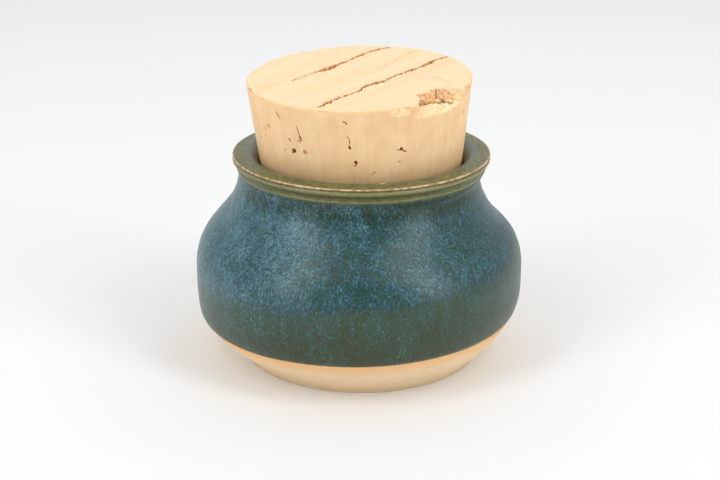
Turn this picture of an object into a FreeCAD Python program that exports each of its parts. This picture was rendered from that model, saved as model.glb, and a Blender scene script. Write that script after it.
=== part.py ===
import FreeCAD, Part
import Sketcher
import math
import os

# A squat stoneware jar, thrown on the wheel, with a tapered cork pressed into its mouth.
# The jar's axis is Z, its foot stands on Z = 0, and the cork leans a little in the throat.
# Lengths are millimetres and angles degrees. The lip's drops are measured from its outer edge.

SIZES = {
    # the jar's body
    "jar_height": 56.3,
    "belly_diameter": 90.0,
    "foot_diameter": 64.8,
    "heel_height": 19.5,
    "heel_curve": 16.0,
    "shoulder_start": 25.4,
    "shoulder_flat": 7.1,
    "wall": 4.5,
    "base_thickness": 6.2,
    # the turned foot
    "foot_ring_width": 5.0,
    "foot_recess_depth": 1.8,
    "foot_recess_draft": 1.2,
    "foot_edge_round": 0.7,
    # the mouth: the throat is its narrowest ring, and the neck and lip stand round it
    "throat_diameter": 54.0,
    "throat_drop": 4.9,
    "mouth_flare": 2.9,
    "mouth_edge_round": 3.0,
    "neck_wall": 5.85,
    "lip_width": 7.4,
    # the lip, from its edge down to the neck
    "lip_fall": 0.3,
    "bare_edge_height": 0.4,
    "lip_line_drop": 0.65,
    "lip_line_depth": 0.3,
    "bead_top_drop": 0.95,
    "bead_low_drop": 1.85,
    "bead_bulge": 0.2,
    "hollow_curve": 2.4,
    "ridge_drop": 3.8,
    "ridge_size": 0.5,
    # the cork
    "cork_clearance": 0.3,
    "cork_length": 38.3,
    "cork_rise": 25.1,
    "cork_taper": 6.6,
    "cork_lean": 3.7,
    "cork_lean_heading": 246.0,
    "cork_shift": 0.2,
    "cork_top_round": 0.5,
    "cork_foot_round": 1.0,
    # the torn chip in the cork's top edge
    "chip_heading": 314.0,
    "chip_inset": 6.8,
    "chip_depth": 2.3,
    "chip_slope": 15.0,
    "chip_offset": 2.1,
    "chip_width": 6.7,
    "chip_mouth_width": 49.0,
}

# The cracks in the cork's top: a depth, then stations along the crack. A station gives its
# place on the top, in shares of the top's radius, and the crack's half width there.
CRACKS = {
    "front_crack": (2.4, [(-0.34, -0.86, 0.05), (-0.24, -0.73, 0.55), (-0.06, -0.56, 0.3),
                          (0.12, -0.27, 0.7), (0.31, -0.07, 0.5), (0.50, 0.13, 0.35),
                          (0.60, 0.27, 0.8), (0.80, 0.50, 0.05)]),
    "back_crack": (1.8, [(-0.64, -0.20, 0.05), (-0.50, 0.02, 0.35), (-0.30, 0.21, 1.1),
                         (-0.17, 0.42, 0.45), (0.10, 0.76, 0.05)]),
}

# Places on the sections, each worked out from the sizes above.
BELLY = "(Sizes.belly_diameter / 2)"
BORE = "(Sizes.belly_diameter / 2 - Sizes.wall)"
FOOT = "(Sizes.foot_diameter / 2)"
RING = "(Sizes.foot_diameter / 2 - Sizes.foot_ring_width)"
THROAT = "(Sizes.throat_diameter / 2)"
MOUTH = "(%s + Sizes.mouth_flare)" % THROAT
NECK = "(%s + Sizes.neck_wall)" % THROAT
LIP = "(%s + Sizes.lip_width)" % THROAT
FLOOR = "(Sizes.foot_recess_depth + Sizes.base_thickness)"
LIP_EDGE = "(Sizes.jar_height - Sizes.lip_fall)"
RIDGE = "(%s - Sizes.ridge_drop)" % LIP_EDGE
NECK_TOP = "(%s - Sizes.ridge_size)" % RIDGE
THROAT_LEVEL = "(Sizes.jar_height - Sizes.throat_drop)"
TAPER = "tan(Sizes.cork_taper * 1 deg)"
CORK_DEPTH = "(Sizes.cork_length - Sizes.cork_rise)"
CORK_TOP = "(%s - Sizes.cork_clearance + Sizes.cork_rise * %s)" % (THROAT, TAPER)
CORK_FOOT = "(%s - Sizes.cork_clearance - %s * %s)" % (THROAT, CORK_DEPTH, TAPER)
RIDGE_TURN = 50

START, END, CENTRE = 1, 2, 3

doc = FreeCAD.newDocument("CorkedJar")
sheet = doc.addObject("Spreadsheet::Sheet", "Sizes")


def fill_sheet():
    """Give every driving dimension a cell of its own, under its own name."""
    cells = dict(SIZES)
    for name, (depth, stations) in CRACKS.items():
        cells[name + "_depth"] = depth
        for number, (across, along, half_width) in enumerate(stations):
            cells["%s_across_%d" % (name, number)] = across
            cells["%s_along_%d" % (name, number)] = along
            cells["%s_half_%d" % (name, number)] = half_width
    for row, (name, dimension) in enumerate(cells.items(), start=1):
        sheet.set("A%d" % row, name)
        sheet.set("B%d" % row, str(dimension))
        sheet.setAlias("B%d" % row, name)
    doc.recompute()


def value(expression):
    """What an expression of the sheet's sizes comes to, as a plain number."""
    result = sheet.evalExpression(expression)
    return float(getattr(result, "Value", result))


def spot(place):
    """The two numbers that a place's two expressions come to."""
    return value(place[0]), value(place[1])


class Section:
    """A sketch on one of its body's planes: lines and arcs held by expressions."""

    def __init__(self, body, name, role):
        self.sketch = body.newObject("Sketcher::SketchObject", name)
        plane = [feature for feature in body.Origin.OriginFeatures if feature.Role == role][0]
        self.sketch.AttachmentSupport = (plane, "")
        self.sketch.MapMode = "FlatFace"

    def line(self, start, end):
        ends = [FreeCAD.Vector(across, up, 0) for across, up in (start, end)]
        return self.sketch.addGeometry(Part.LineSegment(*ends), False)

    def arc(self, centre, radius, first_angle, last_angle):
        """An arc drawn counter-clockwise about its centre, its angles in radians."""
        middle = FreeCAD.Vector(centre[0], centre[1], 0)
        circle = Part.Circle(middle, FreeCAD.Vector(0, 0, 1), radius)
        return self.sketch.addGeometry(Part.ArcOfCircle(circle, first_angle, last_angle), False)

    def rule(self, kind, *where):
        return self.sketch.addConstraint(Sketcher.Constraint(kind, *where))

    def join(self, first, first_end, second, second_end):
        self.rule("Coincident", first, first_end, second, second_end)

    def blend(self, first, first_end, second, second_end):
        """Join two curves end to end in one smooth run."""
        self.rule("Tangent", first, first_end, second, second_end)

    def upright(self, arc, end):
        """Keep an arc's centre level with one of its ends, where the wall stands upright."""
        self.rule("Horizontal", arc, CENTRE, arc, end)

    def hold(self, kind, where, expression):
        """Hold a distance, length or radius at an expression."""
        number = self.rule(kind, *where, value(expression))
        self.sketch.setExpression("Constraints[%d]" % number, expression)

    def place(self, curve, end, place):
        """Hold one point of a curve at a place given by two expressions."""
        for kind, axis, expression in zip(("DistanceX", "DistanceY"), (-2, -1), place):
            if expression == "0":
                self.rule("PointOnObject", curve, end, axis)
            else:
                self.hold(kind, (-1, START, curve, end), expression)

    def path(self, places, joined_to=None):
        """Lines from place to place, the first place being where joined_to ends, if given."""
        strokes = []
        for start, end in zip(places, places[1:]):
            stroke = self.line(spot(start), spot(end))
            if strokes:
                self.join(strokes[-1], END, stroke, START)
            elif joined_to is None:
                self.place(stroke, START, start)
            else:
                self.join(joined_to, END, stroke, START)
            self.place(stroke, END, end)
            strokes.append(stroke)
        return strokes

    def outline(self, places):
        """A closed outline of straight lines through the places."""
        strokes = [self.line(spot(places[i - 1]), spot(places[i])) for i in range(len(places))]
        for i, stroke in enumerate(strokes):
            self.join(strokes[i - 1], END, stroke, START)
            self.place(stroke, END, places[i])


def s_curve(section, wide, narrow, low, high):
    """Draw a shoulder: two equal arcs and the straight that touches both.

    It runs from an upright wall at the radius wide and the height low to an upright wall
    at the radius narrow and the height high. Gives the lower arc and the upper arc.
    """
    inward = value(wide) - value(narrow)
    rise = value(high) - value(low)
    flat = value("Sizes.shoulder_flat")
    radius = (inward ** 2 + rise ** 2 - flat ** 2) / (4 * inward)
    turn = math.atan2(rise, 2 * radius - inward) - math.atan2(flat, 2 * radius)
    low_centre = (value(wide) - radius, value(low))
    high_centre = (value(narrow) + radius, value(high))
    out, up = radius * math.cos(turn), radius * math.sin(turn)
    lower = section.arc(low_centre, radius, 0, turn)
    straight = section.line((low_centre[0] + out, low_centre[1] + up),
                            (high_centre[0] - out, high_centre[1] - up))
    upper = section.arc(high_centre, radius, math.pi, math.pi + turn)
    section.blend(lower, END, straight, START)
    section.blend(straight, END, upper, END)
    section.place(lower, START, (wide, low))
    section.place(upper, START, (narrow, high))
    section.upright(lower, START)
    section.upright(upper, START)
    section.rule("Equal", lower, upper)
    section.hold("Distance", (straight,), "Sizes.shoulder_flat")
    return lower, upper


def draw_foot(section):
    """The turned foot: a shallow recess within a flat ring. Gives its first and last line."""
    lines = section.path([("0", "Sizes.foot_recess_depth"),
                          ("(%s - Sizes.foot_recess_draft)" % RING, "Sizes.foot_recess_depth"),
                          (RING, "0"),
                          (FOOT, "0")])
    return lines[0], lines[-1]


def draw_heel(section, ring):
    """The bevel that rises from the foot, and the heel that turns it upright."""
    radius = value("Sizes.heel_curve")
    centre = (value(BELLY) - radius, value("Sizes.heel_height"))
    out, drop = value(FOOT) - centre[0], centre[1]
    touch = math.acos(radius / math.hypot(out, drop)) - math.atan2(drop, out)
    tip = (centre[0] + radius * math.cos(touch), centre[1] + radius * math.sin(touch))
    bevel = section.line((value(FOOT), 0), tip)
    heel = section.arc(centre, radius, touch, 0)
    section.join(ring, END, bevel, START)
    section.blend(bevel, END, heel, START)
    section.place(heel, END, (BELLY, "Sizes.heel_height"))
    section.upright(heel, END)
    section.hold("Radius", (heel,), "Sizes.heel_curve")
    return heel


def heading(centre, place):
    """The direction from a centre to a place, from 0 up to a full turn."""
    return math.atan2(place[1] - centre[1], place[0] - centre[0]) % (2 * math.pi)


def draw_lip(section, neck):
    """The lip from the neck up: ridge, hollow, bead, incised line and bare edge."""
    turn = math.radians(RIDGE_TURN)
    ridge = section.arc(spot((NECK, RIDGE)), value("Sizes.ridge_size"), -math.pi / 2, turn)
    ridge_end = ("(%s + Sizes.ridge_size * cos(%d deg))" % (NECK, RIDGE_TURN),
                 "(%s + Sizes.ridge_size * sin(%d deg))" % (RIDGE, RIDGE_TURN))
    section.place(ridge, CENTRE, (NECK, RIDGE))
    section.join(neck, START, ridge, START)
    section.hold("DistanceY", (-1, START, ridge, END), ridge_end[1])

    bead_low = ("(%s - Sizes.bead_bulge)" % LIP, "(%s - Sizes.bead_low_drop)" % LIP_EDGE)
    low, high = spot(ridge_end), spot(bead_low)
    across, up = high[0] - low[0], high[1] - low[1]
    chord = math.hypot(across, up)
    radius = value("Sizes.hollow_curve")
    away = math.sqrt(radius ** 2 - chord ** 2 / 4) / chord
    centre = ((low[0] + high[0]) / 2 + away * up, (low[1] + high[1]) / 2 - away * across)
    hollow = section.arc(centre, radius, heading(centre, high), heading(centre, low))
    section.join(ridge, END, hollow, END)
    section.place(hollow, START, bead_low)
    section.hold("Radius", (hollow,), "Sizes.hollow_curve")

    bead_top = (bead_low[0], "(%s - Sizes.bead_top_drop)" % LIP_EDGE)
    bulge = value("Sizes.bead_bulge")
    half = (value(bead_top[1]) - high[1]) / 2
    radius = (half ** 2 + bulge ** 2) / (2 * bulge)
    turn = math.atan2(half, radius - bulge)
    bead = section.arc((value(LIP) - radius, high[1] + half), radius, -turn, turn)
    section.join(hollow, START, bead, START)
    section.place(bead, END, bead_top)
    section.hold("Radius", (bead,), "((Sizes.bead_low_drop - Sizes.bead_top_drop)^2 / 4"
                 " + Sizes.bead_bulge^2) / (2 * Sizes.bead_bulge)")

    line_bottom = ("(%s - Sizes.lip_line_depth)" % LIP, "(%s - Sizes.lip_line_drop)" % LIP_EDGE)
    edge_foot = (LIP, "(%s - Sizes.bare_edge_height)" % LIP_EDGE)
    lines = section.path([bead_top, line_bottom, edge_foot, (LIP, LIP_EDGE),
                          (MOUTH, "Sizes.jar_height")], joined_to=bead)
    return lines[-1]


def draw_mouth(section, top, throat):
    """The curve that leads from the lip's top down into the upright throat."""
    opening = value(MOUTH) - value(THROAT)
    drop = value("Sizes.throat_drop")
    radius = (opening ** 2 + drop ** 2) / (2 * opening)
    turn = math.atan2(drop, radius - opening)
    centre = (value(THROAT) + radius, value(THROAT_LEVEL))
    mouth = section.arc(centre, radius, math.pi - turn, math.pi)
    section.join(top, END, mouth, START)
    section.join(mouth, END, throat, START)
    section.upright(mouth, END)


def draw_floor(section, side, first):
    """The inner wall below the shoulder, the curve into the floor and the floor."""
    bore, heel_height, floor = value(BORE), value("Sizes.heel_height"), value(FLOOR)
    radius = heel_height - floor
    wall = section.line((bore, value("Sizes.shoulder_start")), (bore, heel_height))
    corner = section.arc((bore - radius, heel_height), radius, -math.pi / 2, 0)
    inside = section.line((bore - radius, floor), (0, floor))
    axis = section.line((0, floor), (0, value("Sizes.foot_recess_depth")))
    section.join(side, START, wall, START)
    section.place(wall, END, (BORE, "Sizes.heel_height"))
    section.join(wall, END, corner, END)
    section.upright(corner, END)
    section.rule("Vertical", corner, CENTRE, corner, START)
    section.join(corner, START, inside, START)
    section.rule("Horizontal", inside)
    section.place(inside, END, ("0", FLOOR))
    section.join(inside, END, axis, START)
    section.join(axis, END, first, START)


def new_body(label):
    body = doc.addObject("PartDesign::Body", label)
    body.Label = label
    return body


def turn_about_axis(body, section):
    """Turn a section once about the body's own Z axis."""
    turned = body.newObject("PartDesign::Revolution", section.sketch.Name + "Turned")
    turned.Profile = section.sketch
    turned.ReferenceAxis = (section.sketch, ["V_Axis"])
    turned.Angle = 360.0
    doc.recompute()
    return turned


def round_edge(body, base, radius, place, name):
    """Round the circular edge that runs through a place in the body's XZ plane."""
    corner = Part.Vertex(value(place[0]), 0, value(place[1]))
    near = [number for number, edge in enumerate(base.Shape.Edges, start=1)
            if edge.Closed and edge.distToShape(corner)[0] < 0.001]
    rounding = body.newObject("PartDesign::Fillet", name)
    rounding.Base = (base, ["Edge%d" % number for number in near])
    rounding.setExpression("Radius", radius)
    doc.recompute()
    return rounding


def make_jar():
    jar = new_body("jar")
    section = Section(jar, "JarSection", "XZ_Plane")
    roof, ring = draw_foot(section)
    heel = draw_heel(section, ring)
    shoulder, neck = s_curve(section, BELLY, NECK, "Sizes.shoulder_start", NECK_TOP)
    side = section.line(spot((BELLY, "Sizes.heel_height")), spot((BELLY, "Sizes.shoulder_start")))
    section.join(heel, END, side, START)
    section.join(side, END, shoulder, START)
    top = draw_lip(section, neck)
    inner_shoulder, throat = s_curve(section, BORE, THROAT, "Sizes.shoulder_start", THROAT_LEVEL)
    draw_mouth(section, top, throat)
    draw_floor(section, inner_shoulder, roof)
    turned = turn_about_axis(jar, section)
    turned = round_edge(jar, turned, "Sizes.mouth_edge_round", (MOUTH, "Sizes.jar_height"),
                        "MouthEdge")
    round_edge(jar, turned, "Sizes.foot_edge_round", (FOOT, "0"), "FootEdge")
    return jar


def cut(body, section, name, depth=None):
    """Cut a sketch down to a depth, or straight up from where it lies if no depth is given."""
    pocket = body.newObject("PartDesign::Pocket", name)
    pocket.Profile = section.sketch
    if depth is None:
        pocket.Type = "ThroughAll"
        pocket.UseCustomVector = True
        pocket.Direction = FreeCAD.Vector(0, 0, 1)
    else:
        pocket.setExpression("Length", depth)
    before = pocket.BaseFeature.Shape.Volume
    doc.recompute()
    if not pocket.Shape.Volume < before:
        raise RuntimeError("%s cuts nothing" % name)
    return pocket


def crack_outline(name, count):
    """The places round a crack: out along one side of its stations and back on the other."""
    middle = [("(Sizes.%s_across_%d * %s)" % (name, i, CORK_TOP),
               "(Sizes.%s_along_%d * %s)" % (name, i, CORK_TOP)) for i in range(count)]
    one_side, other_side = [], []
    for i in range(count):
        before, after = spot(middle[max(i - 1, 0)]), spot(middle[min(i + 1, count - 1)])
        run = math.hypot(after[0] - before[0], after[1] - before[1])
        left = (-(after[1] - before[1]) / run, (after[0] - before[0]) / run)
        half = "Sizes.%s_half_%d" % (name, i)
        for side, places in ((1, one_side), (-1, other_side)):
            places.append(("(%s + %.4f * %s)" % (middle[i][0], side * left[0], half),
                           "(%s + %.4f * %s)" % (middle[i][1], side * left[1], half)))
    return one_side + other_side[::-1]


def cut_cracks(cork):
    """The long cracks that run across the cork's top, along its growth rings."""
    for name, (_, stations) in CRACKS.items():
        section = Section(cork, name.title().replace("_", "") + "Outline", "XY_Plane")
        section.sketch.setExpression("AttachmentOffset.Base.z", "Sizes.cork_rise")
        section.outline(crack_outline(name, len(stations)))
        cut(cork, section, name.title().replace("_", ""), "Sizes.%s_depth" % name)


def tear_chip(cork):
    """The chip torn from the cork's top edge: a floor that slopes down and out to the side."""
    section = Section(cork, "ChipOutline", "XY_Plane")
    reach = "(%s - Sizes.chip_inset)" % CORK_TOP
    section.sketch.setExpression(
        "AttachmentOffset",
        "placement(vector(%s * cos(Sizes.chip_heading * 1 deg); %s * sin(Sizes.chip_heading * 1 deg);"
        " Sizes.cork_rise - Sizes.chip_depth); rotation(vector(0; 0; 1); Sizes.chip_heading - 90)"
        " * rotation(vector(1; 0; 0); -Sizes.chip_slope))" % (reach, reach))
    past_side = "(3 * Sizes.chip_inset)"
    section.outline([("(-Sizes.chip_offset - Sizes.chip_width / 2)", "0"),
                     ("(-Sizes.chip_offset + Sizes.chip_width / 2)", "0"),
                     ("(Sizes.chip_mouth_width / 2)", past_side),
                     ("(-Sizes.chip_mouth_width / 2)", past_side)])
    cut(cork, section, "Chip")


def make_cork():
    cork = new_body("cork")
    section = Section(cork, "CorkSection", "XZ_Plane")
    section.outline([("0", "(-%s)" % CORK_DEPTH), (CORK_FOOT, "(-%s)" % CORK_DEPTH),
                     (CORK_TOP, "Sizes.cork_rise"), ("0", "Sizes.cork_rise")])
    turned = turn_about_axis(cork, section)
    turned = round_edge(cork, turned, "Sizes.cork_top_round", (CORK_TOP, "Sizes.cork_rise"),
                        "CorkTopEdge")
    round_edge(cork, turned, "Sizes.cork_foot_round", (CORK_FOOT, "(-%s)" % CORK_DEPTH),
               "CorkFootEdge")
    cut_cracks(cork)
    tear_chip(cork)
    towards = ("cos(Sizes.cork_lean_heading * 1 deg)", "sin(Sizes.cork_lean_heading * 1 deg)")
    cork.setExpression(
        "Placement",
        "placement(vector(-Sizes.cork_shift * %s; -Sizes.cork_shift * %s; %s);"
        " rotation(vector(-%s; %s; 0); Sizes.cork_lean))"
        % (towards[0], towards[1], THROAT_LEVEL, towards[1], towards[0]))
    return cork


def check(bodies):
    """Stop with a plain message where anything in the document is not sound."""
    for thing in doc.Objects:
        if "Invalid" in thing.State or "Error" in thing.State:
            raise RuntimeError("%s is not sound: %s" % (thing.Name, thing.State))
    for body in bodies:
        if body.Shape.isNull() or not body.Shape.isValid() or len(body.Shape.Solids) != 1:
            raise RuntimeError("%s is not one valid solid" % body.Label)


fill_sheet()
bodies = [make_jar(), make_cork()]
doc.recompute()
check(bodies)
os.makedirs("parts", exist_ok=True)
for body in bodies:
    body.Shape.exportStep("parts/%s.step" % body.Label)
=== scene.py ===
import math
import random

import bmesh
import bpy
from mathutils import Euler, Matrix, Vector, noise


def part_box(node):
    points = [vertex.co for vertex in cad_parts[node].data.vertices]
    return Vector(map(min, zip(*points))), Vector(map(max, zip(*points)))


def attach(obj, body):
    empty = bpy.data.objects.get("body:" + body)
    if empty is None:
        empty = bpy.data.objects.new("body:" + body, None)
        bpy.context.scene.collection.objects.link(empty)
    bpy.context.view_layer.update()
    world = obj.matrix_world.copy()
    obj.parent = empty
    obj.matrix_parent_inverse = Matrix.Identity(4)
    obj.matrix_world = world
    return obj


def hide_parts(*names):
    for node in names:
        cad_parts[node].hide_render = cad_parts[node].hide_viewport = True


# A squat stoneware jar in a blue-green glaze with a bare clay foot, and the tapered cork
# that leans a little in its mouth. Everything is in metres, in the part's own frame.

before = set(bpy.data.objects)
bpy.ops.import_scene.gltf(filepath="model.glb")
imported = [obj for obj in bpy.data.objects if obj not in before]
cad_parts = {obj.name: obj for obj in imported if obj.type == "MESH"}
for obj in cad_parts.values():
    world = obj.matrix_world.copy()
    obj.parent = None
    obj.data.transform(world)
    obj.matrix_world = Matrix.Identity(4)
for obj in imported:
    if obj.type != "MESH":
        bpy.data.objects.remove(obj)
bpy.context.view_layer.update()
MM = 0.001
JAR_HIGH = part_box("jar")[1]
BELLY_RADIUS = JAR_HIGH.x


# ---------------------------------------------------------------- helpers for modelling

def only(thing):
    """Select one object alone and make it the one that operators act on."""
    bpy.ops.object.select_all(action="DESELECT")
    thing.select_set(True)
    bpy.context.view_layer.objects.active = thing


def copy_of_node(node, name):
    """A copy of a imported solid, with its loose triangles joined into one skin."""
    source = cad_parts[node]
    piece = bpy.data.objects.new(name, source.data.copy())
    bpy.context.scene.collection.objects.link(piece)
    only(piece)
    bpy.ops.object.mode_set(mode="EDIT")
    bpy.ops.mesh.select_all(action="SELECT")
    bpy.ops.mesh.remove_doubles(threshold=0.002 * MM)
    bpy.ops.object.mode_set(mode="OBJECT")
    piece.data.materials.clear()
    return piece


def pick(piece, kind, wanted):
    """In edit mode, select just the vertices, edges or faces that a test wants, and count them."""
    bpy.ops.mesh.select_mode(type={"verts": "VERT", "edges": "EDGE", "faces": "FACE"}[kind])
    bpy.ops.mesh.select_all(action="DESELECT")
    skin = bmesh.from_edit_mesh(piece.data)
    found = [element for element in getattr(skin, kind) if wanted(element)]
    for element in found:
        element.select_set(True)
    bmesh.update_edit_mesh(piece.data)
    return len(found)


def apply_modifier(piece, kind, **settings):
    """Give a piece one modifier and apply it at once."""
    only(piece)
    modifier = piece.modifiers.new(kind.title(), kind)
    for key, setting in settings.items():
        setattr(modifier, key, setting)
    bpy.ops.object.modifier_apply(modifier=modifier.name)


def crumble(piece, size, strength):
    """Roughen a piece along its normals with soft noise."""
    noise_field = bpy.data.textures.new("crumbs", "CLOUDS")
    noise_field.noise_scale = size
    noise_field.noise_depth = 3
    apply_modifier(piece, "DISPLACE", texture=noise_field, strength=strength, mid_level=0.5,
                   texture_coords="LOCAL")


def finish_piece(piece, material, node):
    """Hand a finished piece to the frame: its material, its body and the solid it replaces."""
    piece.data.materials.clear()
    piece.data.materials.append(material)
    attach(piece, "root")
    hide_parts(node)
    return piece


# ---------------------------------------------------------------- the jar's mesh

TURNS = 320
LIP_EDGE = Vector((34.4 * MM, 0, 56.0 * MM))
THROAT_ROUND = 29.5 * MM
GLAZE_LINE = 12.25 * MM
GLAZE_TILT = 0.016
GLAZE_THICKNESS = 0.22 * MM


def jar_outline():
    """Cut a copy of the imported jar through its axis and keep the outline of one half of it,
    with the part that lies inside the rim marked as a seam."""
    jar = copy_of_node("jar", "stoneware_jar")
    only(jar)
    bpy.ops.object.mode_set(mode="EDIT")
    bpy.ops.mesh.select_all(action="SELECT")
    bpy.ops.mesh.bisect(plane_co=(0, 0, 0), plane_no=(0, 1, 0), clear_inner=True,
                        clear_outer=True, threshold=0.0001 * MM)
    bpy.ops.mesh.select_all(action="SELECT")
    bpy.ops.mesh.bisect(plane_co=(0, 0, 0), plane_no=(1, 0, 0), clear_inner=True,
                        threshold=0.0001 * MM)
    bpy.ops.mesh.select_all(action="SELECT")
    bpy.ops.mesh.remove_doubles(threshold=0.004 * MM)
    bpy.ops.object.mode_set(mode="OBJECT")
    mesh = jar.data
    links = {}
    for edge in mesh.edges:
        first, second = edge.vertices
        links.setdefault(first, []).append((edge, second))
        links.setdefault(second, []).append((edge, first))
    here = min((v for v in links if len(links[v]) == 1), key=lambda v: mesh.vertices[v].co.z)
    rim = max(links, key=lambda v: mesh.vertices[v].co.z)
    passed, before, past_rim = 0, None, False
    while passed < len(mesh.edges):
        edge, ahead = [link for link in links[here] if link[0] != before][0]
        past_rim = past_rim or here == rim
        edge.use_seam = past_rim
        here, before, passed = ahead, edge, passed + 1
    return jar


def longest_step(edge):
    """How long a piece of the outline may be: short where details show, long out of sight."""
    middle = (edge.verts[0].co + edge.verts[1].co) / 2
    if middle.z > JAR_HIGH.z - 5.5 * MM and middle.x > 27.5 * MM:
        return 0.36 * MM
    if edge.seam or middle.x < 26 * MM:
        return 2.4 * MM
    if abs(middle.z - GLAZE_LINE) < 1.2 * MM:
        return 0.3 * MM
    return 1.0 * MM


def glaze_edge_height(angle):
    """Where the glaze stops above the foot: a dipped line, a little tilted and wavy."""
    around = Vector((math.cos(angle), math.sin(angle), 0))
    wave = 0.22 * noise.noise(around * 1.7) + 0.10 * noise.noise(around * 6.0)
    return GLAZE_LINE + GLAZE_TILT * 0.043 * math.cos(angle) + wave * MM


# The pot is a little flat on its right and full at its lower left. Each row has a height and
# how far in the wall lies there, in mm.
FLAT_RIGHT = ((4, 0.0), (13, 1.3), (33, 1.25), (40, 1.85), (45, 1.45), (49.5, 1.35), (51.2, 0.0))
FULL_LEFT = ((3, 0.0), (8, -0.75), (12, -0.75), (18, 0.0))


def along(table, height):
    """Read a table of heights and values, with an eased step from each height to the next."""
    for (low, before), (high, after) in zip(table, table[1:]):
        if low <= height < high:
            share = (height - low) / (high - low)
            return before + (after - before) * share * share * (3 - 2 * share)
    return 0.0


def thrown_relief(radius, height, angle, outer):
    """How far the wall lies inside its true outline, for the marks of making: soft dents all
    over, a worn lip edge, the flat and full sides, the ridges of throwing, and the step down
    from the glaze to the bare clay, with a thick roll just above it."""
    spot = Vector((math.cos(angle) * radius, math.sin(angle) * radius, height)) / MM
    depth = 0.05 + 0.05 * noise.noise(spot * 0.045 + Vector((3, 1, 7)))
    from_edge = math.hypot(radius - LIP_EDGE.x, height - LIP_EDGE.z) / MM
    worn = 0.5 + 0.5 * noise.noise(Vector((math.cos(angle), math.sin(angle), 0)) * 9)
    depth += 0.22 * max(0.0, 1 - from_edge / 0.5) ** 2 * (0.6 + 0.8 * worn)
    if not outer:
        return depth * MM
    depth += along(FLAT_RIGHT, height / MM) * (0.5 + 0.5 * math.cos(angle)) ** 2
    depth += along(FULL_LEFT, height / MM) * (0.5 - 0.5 * math.cos(angle)) ** 2
    spiral = height / (3.4 * MM) + angle / (2 * math.pi)
    ridges = 0.5 + 0.5 * math.sin(2 * math.pi * spiral + 1.5 * noise.noise(spot * 0.08))
    depth += 0.05 * ridges * min(1.0, max(0.0, (BELLY_RADIUS + 4 * MM - radius) / (10 * MM)))
    above = (height - glaze_edge_height(angle)) / MM
    if above < 0.5:
        share = min(1.0, max(0.0, 0.5 - above))
        depth += share * share * (3 - 2 * share) * GLAZE_THICKNESS / MM
        depth += 0.02 * noise.noise(Vector((spot.x * 0.3, spot.y * 0.3, spot.z * 5)))
    elif above < 2.5:
        depth -= 0.04 * math.sin(math.pi * (above - 0.5) / 2.0)
    return depth * MM


def make_jar():
    """Spin the jar's outline into an even skin and press the marks of making into it."""
    jar = jar_outline()
    bpy.ops.object.mode_set(mode="EDIT")
    while pick(jar, "edges", lambda e: e.calc_length() > longest_step(e)):
        bpy.ops.mesh.subdivide(number_cuts=1)
    pick(jar, "verts", lambda v: GLAZE_LINE < v.co.z < 50 * MM and v.co.x > 30 * MM
         and not any(edge.seam for edge in v.link_edges))
    bpy.ops.mesh.vertices_smooth(factor=0.5, repeat=4)
    bpy.ops.mesh.select_all(action="SELECT")
    bpy.ops.mesh.mark_seam(clear=True)
    bpy.ops.mesh.spin(steps=TURNS, angle=2 * math.pi, center=(0, 0, 0), axis=(0, 0, 1))
    bpy.ops.mesh.select_all(action="SELECT")
    bpy.ops.mesh.remove_doubles(threshold=0.004 * MM)
    bpy.ops.mesh.select_all(action="SELECT")
    bpy.ops.mesh.normals_make_consistent(inside=False)
    bpy.ops.object.mode_set(mode="OBJECT")
    moves = []
    for vertex in jar.data.vertices:
        radius = math.hypot(vertex.co.x, vertex.co.y)
        height = vertex.co.z
        outward = vertex.normal.x * vertex.co.x + vertex.normal.y * vertex.co.y > 0
        outer = outward and radius > THROAT_ROUND
        if radius < 1 * MM or height < 0.4 * MM:
            moves.append(Vector((0, 0, 0)))  # the foot's ring and the axis stay true
            continue
        angle = math.atan2(vertex.co.y, vertex.co.x)
        moves.append(-vertex.normal * thrown_relief(radius, height, angle, outer))
    for vertex, move in zip(jar.data.vertices, moves):
        vertex.co += move
    only(jar)
    bpy.ops.object.shade_smooth_by_angle(angle=math.radians(50))
    return jar


# ---------------------------------------------------------------- helpers for finishes

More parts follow.
